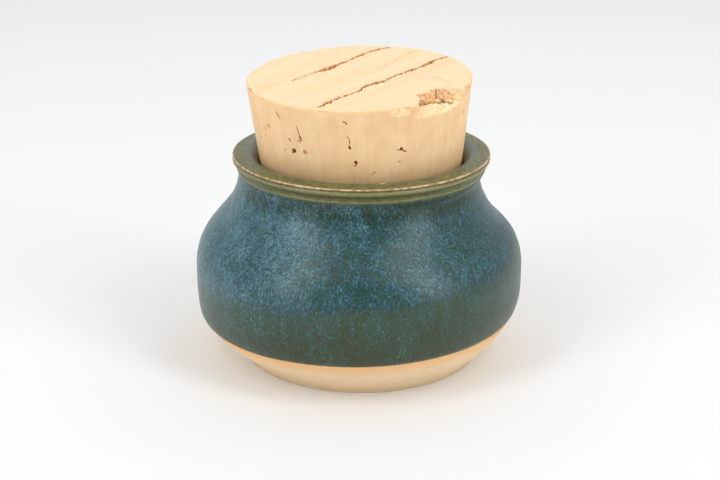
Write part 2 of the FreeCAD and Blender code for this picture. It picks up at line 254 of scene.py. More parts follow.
class Finish:
    """A material's nodes, built one step after another from the piece's own coordinates."""

    def __init__(self, name):
        self.material = bpy.data.materials.new(name)
        self.material.use_nodes = True
        self.tree = self.material.node_tree
        self.shader = self.tree.nodes["Principled BSDF"]
        self.place = self.node("ShaderNodeTexCoord").outputs["Object"]

    def node(self, kind, **settings):
        made = self.tree.nodes.new(kind)
        for key, setting in settings.items():
            setattr(made, key, setting)
        return made

    def feed(self, socket, source):
        """Give a socket a link where the source is one, and a plain value otherwise."""
        if isinstance(source, bpy.types.NodeSocket):
            self.tree.links.new(source, socket)
        else:
            socket.default_value = source

    def sums(self, operation, first, second=0.0, third=0.0):
        made = self.node("ShaderNodeMath", operation=operation)
        for socket, source in zip(made.inputs, (first, second, third)):
            self.feed(socket, source)
        return made.outputs[0]

    def fade(self, value, low, high, smooth=True):
        """0 below low, 1 above high, and a soft rise between them; low may lie above high."""
        made = self.node("ShaderNodeMapRange", clamp=True)
        made.interpolation_type = "SMOOTHSTEP" if smooth else "LINEAR"
        self.feed(made.inputs["Value"], value)
        self.feed(made.inputs["From Min"], low)
        self.feed(made.inputs["From Max"], high)
        return made.outputs[0]

    def both(self, first, second):
        """A share that is high only where both shares are: their product."""
        return self.sums("MULTIPLY", first, second)

    def band(self, value, levels):
        """0 outside four rising levels, in mm, and 1 between the middle two."""
        start, full, last, end = (level * MM for level in levels)
        return self.both(self.fade(value, end, last), self.fade(value, start, full))

    def from_axis(self, x, y):
        """The distance from the upright axis."""
        return self.sums("SQRT", self.sums("ADD", self.sums("MULTIPLY", x, x),
                                           self.sums("MULTIPLY", y, y)))

    def parts(self, vector):
        split = self.node("ShaderNodeSeparateXYZ")
        self.feed(split.inputs[0], vector)
        return split.outputs

    def stretched(self, vector, scale, turn=(0, 0, 0), shift=(0, 0, 0), kind="POINT"):
        made = self.node("ShaderNodeMapping", vector_type=kind)
        self.feed(made.inputs["Vector"], vector)
        made.inputs["Location"].default_value = shift
        made.inputs["Rotation"].default_value = turn
        made.inputs["Scale"].default_value = scale
        return made.outputs[0]

    def grain(self, vector, size, detail=2.0, roughness=0.5):
        """Soft noise between 0 and 1, with blotches of about the size given, in metres."""
        made = self.node("ShaderNodeTexNoise")
        self.feed(made.inputs["Vector"], vector)
        made.inputs["Scale"].default_value = 1.0 / size
        made.inputs["Detail"].default_value = detail
        made.inputs["Roughness"].default_value = roughness
        return made.outputs["Fac"]

    def spots(self, vector, size):
        """The distance from the nearest of many scattered points, about size apart."""
        made = self.node("ShaderNodeTexVoronoi")
        self.feed(made.inputs["Vector"], vector)
        made.inputs["Scale"].default_value = 1.0 / size
        return made.outputs["Distance"], made.outputs["Color"]

    def mix(self, share, first, second):
        made = self.node("ShaderNodeMix", data_type="RGBA")
        self.feed(made.inputs["Factor"], share)
        self.feed(made.inputs[6], first)
        self.feed(made.inputs[7], second)
        return made.outputs[2]

    def bump(self, height, distance, strength):
        made = self.node("ShaderNodeBump")
        self.feed(made.inputs["Height"], height)
        made.inputs["Distance"].default_value = distance
        made.inputs["Strength"].default_value = strength
        return made.outputs[0]


def shade(red, green, blue):
    """A colour written as on a screen, 0 to 255, turned into the light that it stands for."""
    def light(level):
        level /= 255
        return level / 12.92 if level <= 0.04045 else ((level + 0.055) / 1.055) ** 2.4
    return light(red), light(green), light(blue), 1.0


# ---------------------------------------------------------------- the jar's finish

DIP_LINE = 27.5 * MM
DIP_SLOPE = 0.083

# Rings on the outside of the lip, in mm above the foot: where each starts, is full, is last full
# and ends. The ridge and the bead are painted paler as painted highlight, the hollow and the
# incised ring darker as painted shade.
LIP_RIDGE = (51.7, 52.0, 52.2, 52.5)
LIP_HOLLOW = (52.5, 52.95, 53.5, 53.95)
LIP_BEAD = (53.9, 54.1, 54.9, 55.1)
LIP_INCISED = (55.05, 55.25, 55.48, 55.62)
LIP_BARE = (55.34, 55.48, 55.92, 55.98)
LIP_NICK = (5.0 * MM, -29.6 * MM)


def glazed_stoneware():
    """Blue flecks over a green glaze, olive at the lip and low down, on buff stoneware, with
    painted shade under the lip and in the lip's hollows and painted highlight on its ridges.
    """
    f = Finish("glazed_stoneware")
    x, y, z = f.parts(f.place)
    radius = f.from_axis(x, y)
    runny = f.stretched(f.place, (1, 1, 0.5))
    long_runs = f.stretched(f.place, (1, 1, 0.22))
    broad = f.grain(f.place, 16 * MM, 2)
    patchy = f.grain(runny, 5.0 * MM, 3, 0.6)
    runs = f.grain(long_runs, 2.2 * MM, 2, 0.5)
    fleck = f.grain(runny, 0.54 * MM, 3, 0.65)
    fine = f.grain(f.stretched(f.place, (1, 1, 0.6), shift=(0.3, 0.1, 0.2)), 0.38 * MM, 1, 0.5)

    wander = f.sums("MULTIPLY", f.sums("SUBTRACT", f.grain(f.place, 10 * MM, 2), 0.5), 2.4 * MM)
    dip = f.sums("SUBTRACT", z, f.sums("MULTIPLY_ADD", x, DIP_SLOPE, DIP_LINE))
    dip = f.sums("ADD", dip, wander)
    second_coat = f.fade(dip, -1.2 * MM, 0.9 * MM)
    under_lip = f.sums("ADD", z, f.sums("MULTIPLY", wander, 0.8))
    below_neck = f.fade(under_lip, 48.2 * MM, 44.5 * MM)
    low_share = f.fade(z, 12.0 * MM, 27 * MM)

    unevenness = f.sums("ADD", f.sums("MULTIPLY", f.sums("SUBTRACT", patchy, 0.5), 0.20),
                        f.sums("MULTIPLY", f.sums("SUBTRACT", broad, 0.5), 0.16))
    unevenness = f.sums("ADD", unevenness,
                        f.sums("MULTIPLY", f.sums("SUBTRACT", runs, 0.5), 0.16))
    level = f.sums("ADD", f.sums("MULTIPLY", fleck, 0.55), f.sums("MULTIPLY", fine, 0.45))
    level = f.sums("ADD", level, unevenness)
    to_upper_left = f.fade(f.sums("MULTIPLY_ADD", z, -0.8, x), -18 * MM, -62 * MM)
    level = f.sums("ADD", level, f.sums("MULTIPLY", to_upper_left, 0.08))
    coat = f.both(second_coat, below_neck)
    thin_coat = f.both(f.sums("SUBTRACT", 1.0, second_coat), low_share)
    teal_lift = f.sums("MULTIPLY_ADD", coat, 0.14, f.sums("MULTIPLY", thin_coat, 0.12))
    teal = f.fade(f.sums("ADD", level, teal_lift), 0.43, 0.68)
    blue_lift = f.sums("MULTIPLY_ADD", coat, 0.08, f.sums("MULTIPLY", thin_coat, 0.08))
    blue = f.fade(f.sums("ADD", level, blue_lift), 0.48, 0.76)
    pale = f.fade(f.sums("ADD", level, f.sums("MULTIPLY", coat, 0.06)), 0.60, 0.80)

    below_lip = f.fade(under_lip, 44.5 * MM, 47.8 * MM)
    green = f.mix(f.grain(runny, 1.6 * MM, 3), shade(14, 34, 24), shade(40, 58, 26))
    # partly a darker green glaze, partly painted shade: the neck just under the lip's overhang is
    # painted darker
    green = f.mix(below_lip, green, shade(14, 38, 14))
    low_green = f.mix(f.grain(runny, 1.6 * MM, 3), shade(33, 40, 14), shade(60, 60, 25))
    green = f.mix(f.fade(dip, 0.6 * MM, -0.8 * MM), green, low_green)
    glaze = f.mix(teal, green, f.mix(second_coat, shade(40, 64, 48), shade(20, 60, 64)))
    glaze = f.mix(blue, glaze, f.mix(second_coat, shade(50, 80, 76), shade(56, 96, 106)))
    veins = f.fade(f.grain(f.stretched(f.place, (1, 1, 0.6), shift=(0, 0.2, 0)), 1.5 * MM, 3, 0.6),
                   0.50, 0.62)
    glaze = f.mix(f.sums("MULTIPLY", veins, 0.5), glaze, shade(42, 66, 42))
    glaze = f.mix(f.sums("MULTIPLY", pale, 0.7), glaze, shade(98, 136, 148))
    overlap = f.both(f.band(dip, (-1.0, 0.2, 1.0, 2.6)), f.fade(patchy, 0.35, 0.65))
    glaze = f.mix(f.sums("MULTIPLY", overlap, 0.35), glaze, shade(44, 44, 56))

    rust_far, rust_tint = f.spots(f.place, 2.0 * MM)
    rust = f.both(f.fade(rust_far, 0.13, 0.07), f.fade(f.parts(rust_tint)[0], 0.40, 0.45))
    glaze = f.mix(f.sums("MULTIPLY", rust, 0.8), glaze, shade(104, 52, 44))

    lip = f.fade(f.sums("ADD", z, f.sums("MULTIPLY", wander, 0.1)), 51.3 * MM, 51.7 * MM)
    throat = f.both(f.fade(radius, 31.6 * MM, 31.0 * MM), f.fade(z, 40 * MM, 41 * MM))
    olive = f.mix(f.fade(f.grain(f.stretched(f.place, (1, 1, 2.5)), 1.4 * MM, 3, 0.6), 0.35, 0.65),
                  shade(76, 80, 38), shade(112, 112, 66))
    mouth = f.sums("MULTIPLY", f.fade(radius, 31.6 * MM, 29.6 * MM), 0.8)
    olive = f.mix(mouth, olive, shade(100, 112, 104))
    # painted shade in the lip's hollow and incised ring, painted highlight on its ridge and bead
    sunk = f.both(f.sums("MAXIMUM", f.band(z, LIP_HOLLOW), f.band(z, LIP_INCISED)),
                  f.fade(radius, 31.5 * MM, 32 * MM))
    olive = f.mix(f.sums("MULTIPLY", sunk, 0.6), olive, shade(60, 62, 32))
    olive = f.mix(f.sums("MULTIPLY", f.band(z, LIP_RIDGE), 0.55), olive, shade(134, 126, 84))
    olive = f.mix(f.sums("MULTIPLY", f.band(z, LIP_BEAD), 0.6), olive, shade(142, 132, 92))
    glaze = f.mix(f.sums("MAXIMUM", lip, throat), glaze, olive)
    iron_far, iron_tint = f.spots(f.place, 3.4 * MM)
    iron = f.both(f.fade(iron_far, 0.09, 0.05), f.fade(f.parts(iron_tint)[1], 0.5, 0.55))
    glaze = f.mix(f.sums("MULTIPLY", f.both(iron, lip), 0.8), glaze, shade(52, 42, 28))

    clay = f.mix(f.grain(f.stretched(f.place, (1, 1, 3)), 4 * MM, 4, 0.6), shade(222, 192, 154),
                 shade(234, 208, 172))
    edge = f.sums("MULTIPLY_ADD", x, GLAZE_TILT, GLAZE_LINE)
    wave = f.sums("MULTIPLY", f.sums("SUBTRACT", f.grain(f.place, 22 * MM, 2), 0.5), 0.6 * MM)
    above = f.sums("ADD", f.sums("SUBTRACT", z, edge), wave)
    glazed = f.fade(above, -0.15 * MM, 0.2 * MM)
    flash = f.fade(above, -4.5 * MM, -0.1 * MM)
    clay = f.mix(f.sums("MULTIPLY", flash, 0.85), clay, shade(228, 176, 114))
    speck_far, speck_tint = f.spots(f.place, 3.1 * MM)
    speck = f.both(f.fade(speck_far, 0.10, 0.05), f.fade(f.parts(speck_tint)[0], 0.62, 0.66))
    clay = f.mix(f.sums("MULTIPLY", speck, 0.6), clay, shade(120, 88, 60))

    worn = f.both(f.fade(radius, 33.95 * MM, 34.15 * MM), f.band(z, LIP_BARE))
    worn = f.both(worn, f.fade(f.grain(f.place, 1.6 * MM, 3), 0.26, 0.44))
    bare = f.sums("MAXIMUM", f.sums("SUBTRACT", 1.0, glazed), worn)
    worn_tint = f.fade(f.grain(f.place, 1.5 * MM, 3), 0.38, 0.60)
    nick = f.from_axis(f.sums("SUBTRACT", x, LIP_NICK[0]), f.sums("SUBTRACT", y, LIP_NICK[1]))
    nick = f.sums("MULTIPLY", f.sums("POWER", nick, 2.0),
                  f.sums("MULTIPLY_ADD", f.grain(f.place, 0.8 * MM), 2.4, -0.2))
    nick = f.both(f.fade(nick, 1.1 * MM * MM, 0.6 * MM * MM), f.fade(z, 53 * MM, 54 * MM))
    worn = f.sums("MAXIMUM", worn, nick)
    bare = f.sums("MAXIMUM", bare, nick)
    clay = f.mix(worn, clay, f.mix(worn_tint, shade(158, 120, 84), shade(216, 180, 146)))
    f.feed(f.shader.inputs["Base Color"], f.mix(bare, glaze, clay))
    f.feed(f.shader.inputs["Roughness"], f.sums("MULTIPLY_ADD", bare, 0.42, 0.38))
    f.shader.inputs["IOR"].default_value = 1.45
    relief = f.sums("MULTIPLY_ADD", fleck, 0.4, f.sums("MULTIPLY", broad, 1.5))
    f.feed(f.shader.inputs["Normal"], f.bump(relief, 0.05 * MM, 0.5))
    return f.material


# ---------------------------------------------------------------- the cork's mesh

# The cork's own frame has its axis as Z, X to the right and Z = 0 where the throat grips it.
SEAT_HEIGHT = 51.4 * MM
SEAT_RADIUS = 26.7 * MM
CORK_RISE = 25.1 * MM
CORK_LENGTH = 38.3 * MM
TAPER = math.tan(math.radians(6.6))
LEAN = math.radians(3.7)
LEAN_HEADING = math.radians(246.0)
SHIFT = 0.2 * MM
TOP_RADIUS = SEAT_RADIUS + CORK_RISE * TAPER
FOOT_RADIUS = SEAT_RADIUS - (CORK_LENGTH - CORK_RISE) * TAPER
TOWARDS = Vector((math.cos(LEAN_HEADING), math.sin(LEAN_HEADING), 0))
CORK_PLACE = (Matrix.Translation(-SHIFT * TOWARDS + Vector((0, 0, SEAT_HEIGHT)))
              @ Matrix.Rotation(LEAN, 4, Vector((0, 0, 1)).cross(TOWARDS)))
CORK_SIDES = 288

# The chip torn from the top edge: where its middle lies, how far in it reaches, how deep it
# starts, how its floor falls outward, and how wide its inner wall and its mouth are.
CHIP_HEADING = math.radians(314.0)
CHIP_INSET = 6.8 * MM
CHIP_DEPTH = 2.3 * MM
CHIP_SLOPE = math.radians(15.0)
CHIP_INNER = (-1.25 * MM, 5.45 * MM)
CHIP_MOUTH = (-12.9 * MM, 14.9 * MM)
CHIP_REACH = 10.2 * MM

# Cracks across the top: a depth, a raggedness, then stations of x, y and half width, in mm.
CRACKS = (
    (2.2, 0.42, ((-10.6, -26.2, 0.15), (-9.3, -24.6, 0.55), (-7.8, -21.7, 0.85), (-6.6, -20.0, 0.40),
                 (-5.8, -19.3, 0.70), (-4.0, -17.3, 0.55), (-1.3, -14.6, 0.36), (0.0, -12.0, 0.60),
                 (1.2, -9.4, 0.40), (3.6, -7.4, 1.00), (5.8, -5.6, 0.85), (8.2, -2.2, 0.42),
                 (10.8, 0.9, 0.50), (12.6, 2.9, 0.62), (13.8, 4.4, 1.05), (15.0, 5.6, 0.26),
                 (15.9, 6.6, 0.50), (17.4, 8.4, 1.15), (18.8, 10.6, 0.95), (19.6, 11.9, 0.30),
                 (21.2, 13.5, 0.70), (22.6, 15.0, 0.55), (23.9, 16.2, 0.10))),
    (1.7, 0.26, ((-18.0, -3.4, 0.08), (-16.6, -1.6, 0.30), (-15.0, 0.6, 0.60), (-13.0, 2.7, 0.22),
                 (-11.0, 4.7, 0.80), (-9.6, 6.0, 1.70), (-8.3, 7.6, 1.65), (-6.6, 10.0, 1.15),
                 (-4.8, 12.4, 0.70), (-1.4, 17.0, 0.50), (2.0, 21.6, 0.60), (4.8, 24.3, 0.85),
                 (8.8, 26.9, 0.20))),
    (0.5, 0.10, ((-25.2, -8.8, 0.05), (-24.0, -8.1, 0.36), (-22.8, -7.4, 0.06))),
    (0.4, 0.10, ((-23.8, -6.4, 0.06), (-21.9, -5.3, 0.22), (-19.6, -4.1, 0.06))),
    (0.4, 0.10, ((-15.0, -8.1, 0.06), (-13.6, -7.0, 0.30), (-12.4, -6.2, 0.06))),
    (0.5, 0.12, ((0.6, -1.6, 0.05), (3.0, 1.8, 0.20), (5.4, 6.0, 0.24), (9.5, 12.1, 0.16),
                 (12.4, 18.6, 0.14), (14.0, 21.2, 0.60), (15.5, 22.2, 0.08))),
    (0.8, 0.12, ((17.8, -1.3, 0.10), (19.5, -2.9, 0.28), (21.2, -4.9, 0.34), (23.8, -8.4, 0.08))),
    (8.0, 0.24, ((14.9, -17.6, 0.50), (16.0, -17.1, 0.90), (18.0, -16.2, 0.70), (20.2, -15.0, 0.80),
                 (21.0, -13.8, 0.90))),
    (8.0, 0.26, ((19.4, -12.8, 0.30), (20.8, -13.8, 0.70), (22.4, -14.2, 1.00), (23.6, -14.2, 0.35))),
)

# Pits in the side: heading in degrees, drop from the top edge, width, height, tilt in degrees
# and depth, in mm.
PITS = (
    (225.9, 3.2, 0.42, 2.3, 38, 0.6), (216.6, 7.3, 0.60, 1.0, 25, 0.6),
    (237.9, 6.4, 0.26, 2.8, 12, 0.5), (238.9, 8.2, 0.60, 1.5, 14, 0.9),
    (238.1, 9.1, 1.0, 0.4, -20, 0.6), (231.9, 9.3, 0.45, 1.1, 35, 0.7),
    (233.9, 12.0, 1.15, 1.25, 20, 1.7), (233.1, 12.5, 0.7, 0.8, 0, 1.2),
    (240.8, 11.9, 1.1, 1.3, 20, 0.35), (227.9, 12.4, 0.55, 0.6, 0, 0.28),
    (213.2, 8.4, 0.35, 0.8, 0, 0.35), (212.0, 10.4, 0.3, 0.9, 0, 0.3), (205.0, 12.0, 0.3, 0.8, 0, 0.3),
    (262.6, 2.8, 0.9, 0.3, -15, 0.4), (263.5, 3.2, 0.35, 0.8, 35, 0.5),
    (264.2, 7.0, 0.22, 1.3, 25, 0.35), (264.8, 8.2, 0.28, 1.5, -5, 0.4),
    (264.8, 9.7, 0.55, 1.0, 15, 1.0), (267.6, 13.8, 0.75, 1.1, 25, 1.0),
    (267.2, 14.6, 0.9, 0.5, 0, 0.35), (290.9, 11.0, 0.9, 0.85, 30, 1.4),
    (292.4, 11.6, 1.6, 0.34, -28, 0.6), (289.0, 11.2, 1.0, 0.24, -20, 0.4),
    (336.4, 6.9, 0.5, 1.5, 0, 0.35), (342.3, 1.1, 0.7, 1.4, 5, 0.5), (277.0, 16.6, 0.6, 0.35, 0, 0.4),
    (275.4, 17.1, 1.7, 0.2, 0, 0.25), (290.0, 14.6, 0.8, 0.9, 0, 0.18),
)

# Nicks in the top edge: heading and spread in degrees, and depth in mm.
NICKS = ((117, 3.0, 0.7), (125, 2.0, 0.5), (77, 1.5, 0.5), (336, 4, 0.3), (252, 4, 0.25))


def cork_blank():
    """A tapered plug with a rounded top edge, and a skin of small faces."""
    bpy.ops.object.select_all(action="DESELECT")
    bpy.ops.mesh.primitive_cone_add(vertices=CORK_SIDES, radius1=FOOT_RADIUS, radius2=TOP_RADIUS,
                                    depth=CORK_LENGTH, location=(0, 0, CORK_RISE - CORK_LENGTH / 2))
    cork = bpy.context.active_object
    cork.name = cork.data.name = "natural_cork"
    bpy.ops.object.transform_apply(location=True, rotation=True, scale=True)
    bpy.ops.object.mode_set(mode="EDIT")
    for height, width, steps in ((CORK_RISE, 0.5 * MM, 4), (CORK_RISE - CORK_LENGTH, 1.0 * MM, 3)):
        pick(cork, "edges", lambda e: all(abs(v.co.z - height) < 0.01 * MM for v in e.verts))
        bpy.ops.mesh.bevel(offset=width, segments=steps, affect="EDGES")
    pick(cork, "edges", lambda e: abs(e.verts[0].co.z - e.verts[1].co.z) > CORK_LENGTH / 2)
    bpy.ops.mesh.subdivide(number_cuts=47)
    pick(cork, "faces", lambda f: f.normal.z > 0.99 and f.calc_area() > 1 * MM * MM)
    for _ in range(27):
        bpy.ops.mesh.inset(thickness=1.0 * MM)
    bpy.ops.object.mode_set(mode="OBJECT")
    return cork


def wear_cork(cork):
    """Press the slight unevenness of cut cork into the blank: shallow dents in its side, a top
    that isn't quite flat, and nicks along its top edge."""
    for vertex in cork.data.vertices:
        spot = vertex.co / MM
        reach = math.hypot(spot.x, spot.y)
        if reach < 0.1:
            continue
        outward = Vector((spot.x, spot.y, 0)) / reach
        below = CORK_RISE / MM - spot.z
        around = outward * 12
        dent = 0.05 + 0.05 * noise.noise(spot * 0.12) + 0.03 * noise.noise(around * 0.9)
        edge = max(0.0, 1 - below / 1.6) * max(0.0, 1 - (TOP_RADIUS / MM - reach) / 1.6)
        heading = math.degrees(math.atan2(spot.y, spot.x)) % 360
        nick = max(0.0, noise.noise(around * 0.5 + Vector((4, 0, 9))) - 0.12) * 0.5
        for place, spread, cut in NICKS:
            nick += cut * math.exp(-((heading - place) / spread) ** 2)
        top = max(0.0, 1 - below / 0.6)
        sunk = 0.04 + 0.06 * noise.noise(Vector((spot.x * 0.10, spot.y * 0.10, 5)))
        vertex.co -= outward * (dent + edge * nick) * MM
        vertex.co.z -= (top * max(0.0, sunk) + edge * nick * 0.7) * MM
    cork.data.update()


def crack_blade(depth, raggedness, stations, dice):
    """A keel-shaped blade along a crack. Its end face is pulled from station to station."""
    x, y, half = stations[0]
    top = CORK_RISE + 1.0 * MM
    bpy.ops.object.select_all(action="DESELECT")
    bpy.ops.mesh.primitive_cube_add(size=1, location=(x * MM, y * MM, top - (1 + depth / 2) * MM / 2),
                                    scale=(half * 2 * MM, half * 2 * MM, (1 + depth / 2) * MM))
    blade = bpy.context.active_object
    bpy.ops.object.transform_apply(location=True, rotation=True, scale=True)
    ahead = Vector((stations[1][0] - x, stations[1][1] - y, 0)).normalized()
    turn = math.atan2(ahead.y, ahead.x)
    blade.data.transform(Matrix.Translation((x * MM, y * MM, 0)) @ Matrix.Rotation(turn, 4, "Z")
                         @ Matrix.Translation((-x * MM, -y * MM, 0)))
    bpy.ops.object.mode_set(mode="EDIT")
    pick(blade, "faces", lambda f: f.normal.dot(ahead) > 0.9)
    here, width = Vector((x, y, 0)), half
    for x, y, half in stations[1:]:
        goal = Vector((x, y, 0))
        steps = max(1, round((goal - here).length / 0.45))
        start, first = here, width
        for i in range(1, steps + 1):
            share = i / steps
            stray = Vector((dice.uniform(-1, 1), dice.uniform(-1, 1), 0)) * raggedness * (share < 1)
            spot = start.lerp(goal, share) + stray
            size = (first + (half - first) * share) * (1 + dice.uniform(-0.35, 0.35) * (share < 1))
            sink = depth * (0.5 + 0.5 * min(1.0, size / 0.6)) * dice.uniform(0.75, 1.0)
            bpy.ops.mesh.extrude_region_move(
                TRANSFORM_OT_translate={"value": (spot - here) * MM})
            skin = bmesh.from_edit_mesh(blade.data)
            for vertex in skin.verts:
                if vertex.select:
                    side = vertex.co / MM - spot
                    flat = Vector((side.x, side.y, 0)).normalized()
                    low = vertex.co.z < CORK_RISE
                    reach = size * 0.4 if low else size * 1.6 + raggedness * 0.6
                    vertex.co.xy = (spot + flat * reach).xy * MM
                    if low:
                        vertex.co.z = CORK_RISE - sink * MM
            bmesh.update_edit_mesh(blade.data)
            here = spot
        here, width = goal, half
    bpy.ops.mesh.select_all(action="SELECT")
    bpy.ops.mesh.normals_make_consistent(inside=False)
    bpy.ops.object.mode_set(mode="OBJECT")
    return blade


def pit_plug(heading, drop, width, height, tilt, depth):
    """A small plug half sunk in the cork's side, a little larger than its pit so that its
    lumps leave about the size asked for."""
    angle = math.radians(heading)
    reach = TOP_RADIUS - drop * MM * TAPER
    place = Vector((math.cos(angle) * reach, math.sin(angle) * reach, CORK_RISE - drop * MM))
    bpy.ops.object.select_all(action="DESELECT")
    bpy.ops.mesh.primitive_ico_sphere_add(subdivisions=2, radius=1)
    plug = bpy.context.active_object
    plug.data.transform(Matrix.Translation(place) @ Matrix.Rotation(angle, 4, "Z")
                        @ Matrix.Rotation(math.radians(tilt), 4, "X")
                        @ Matrix.Diagonal((1.4 * depth * MM, 0.6 * width * MM, 0.56 * height * MM, 1)))
    return plug


def joined(pieces):
    """Join pieces into one object."""
    bpy.ops.object.select_all(action="DESELECT")
    for piece in pieces:
        piece.select_set(True)
    bpy.context.view_layer.objects.active = pieces[0]
    bpy.ops.object.join()
    return pieces[0]


def chip_wedge():
    """The wedge that the chip takes away: a steep inner wall and a floor that falls outward."""
    inner = TOP_RADIUS - CHIP_INSET
    bpy.ops.object.select_all(action="DESELECT")
    bpy.ops.mesh.primitive_cube_add(size=1)
    wedge = bpy.context.active_object
    for vertex in wedge.data.vertices:
        outer, left, upper = vertex.co.x > 0, vertex.co.y < 0, vertex.co.z > 0
        across = (CHIP_MOUTH if outer else CHIP_INNER)[0 if left else 1]
        floor = CORK_RISE - CHIP_DEPTH - (CHIP_REACH * math.sin(CHIP_SLOPE) if outer else 0)
        vertex.co = Vector((inner + (CHIP_REACH * math.cos(CHIP_SLOPE) if outer else 0), across,
                            CORK_RISE + 3 * MM if upper else floor))
    only(wedge)
    bpy.ops.object.mode_set(mode="EDIT")
    bpy.ops.mesh.select_all(action="SELECT")
    bpy.ops.mesh.subdivide(number_cuts=30)
    bpy.ops.object.mode_set(mode="OBJECT")
    wedge.data.transform(Matrix.Rotation(CHIP_HEADING, 4, "Z"))
    crumble(wedge, 3.0 * MM, 1.2 * MM)
    crumble(wedge, 0.7 * MM, 0.45 * MM)
    return wedge


def rim_tear():
    """A crumbled lump where the top edge is torn beside the chip."""
    angle = math.radians(290.5)
    place = Vector((math.cos(angle), math.sin(angle), 0)) * (TOP_RADIUS + 0.3 * MM)
    place.z = CORK_RISE - 0.7 * MM
    bpy.ops.object.select_all(action="DESELECT")
    bpy.ops.mesh.primitive_ico_sphere_add(subdivisions=4, radius=1)
    lump = bpy.context.active_object
    lump.data.transform(Matrix.Translation(place) @ Matrix.Rotation(angle, 4, "Z")
                        @ Matrix.Diagonal((1.5 * MM, 3.2 * MM, 1.9 * MM, 1)))
    crumble(lump, 1.3 * MM, 1.5 * MM)
    crumble(lump, 0.5 * MM, 0.4 * MM)
    return lump


def carve(cork, cutter):
    """Take the cutter's shape out of the cork."""
    apply_modifier(cork, "BOOLEAN", operation="DIFFERENCE", solver="EXACT", use_self=True,
                   object=cutter)
    bpy.data.objects.remove(cutter)


def make_cork():
    dice = random.Random(11)
    cork = cork_blank()
    wear_cork(cork)
    carve(cork, chip_wedge())
    torn = joined([crack_blade(*crack, dice) for crack in CRACKS if crack[1] > 0.15])
    only(torn)
    bpy.ops.object.mode_set(mode="EDIT")
    bpy.ops.mesh.select_all(action="SELECT")
    bpy.ops.mesh.subdivide(number_cuts=2)
    bpy.ops.object.mode_set(mode="OBJECT")
    crumble(torn, 1.1 * MM, 1.5 * MM)
    crumble(torn, 0.45 * MM, 0.4 * MM)
    fine = joined([crack_blade(*crack, dice) for crack in CRACKS if crack[1] <= 0.15])
    crumble(fine, 0.6 * MM, 0.15 * MM)
    plugs = [pit_plug(*pit) for pit in PITS]
    for _ in range(26):
        plugs.append(pit_plug(dice.uniform(5, 175), dice.uniform(1.5, 19), dice.uniform(0.3, 1.1),
                              dice.uniform(0.5, 1.5), dice.uniform(-40, 40), dice.uniform(0.2, 1.2)))
    plugs = joined(plugs)
    crumble(plugs, 0.4 * MM, 0.16 * MM)
    carve(cork, joined([torn, fine, plugs, rim_tear()]))
    only(cork)
    bpy.ops.object.mode_set(mode="EDIT")
    bpy.ops.mesh.select_all(action="SELECT")
    bpy.ops.mesh.remove_doubles(threshold=0.004 * MM)
    bpy.ops.mesh.dissolve_degenerate(threshold=0.002 * MM)
    bpy.ops.object.mode_set(mode="OBJECT")
    bpy.ops.object.shade_smooth_by_angle(angle=math.radians(35))
    cork.data.transform(CORK_PLACE)
    return cork


# ---------------------------------------------------------------- the cork's finish

GRAIN_HEADING = math.radians(52.0)


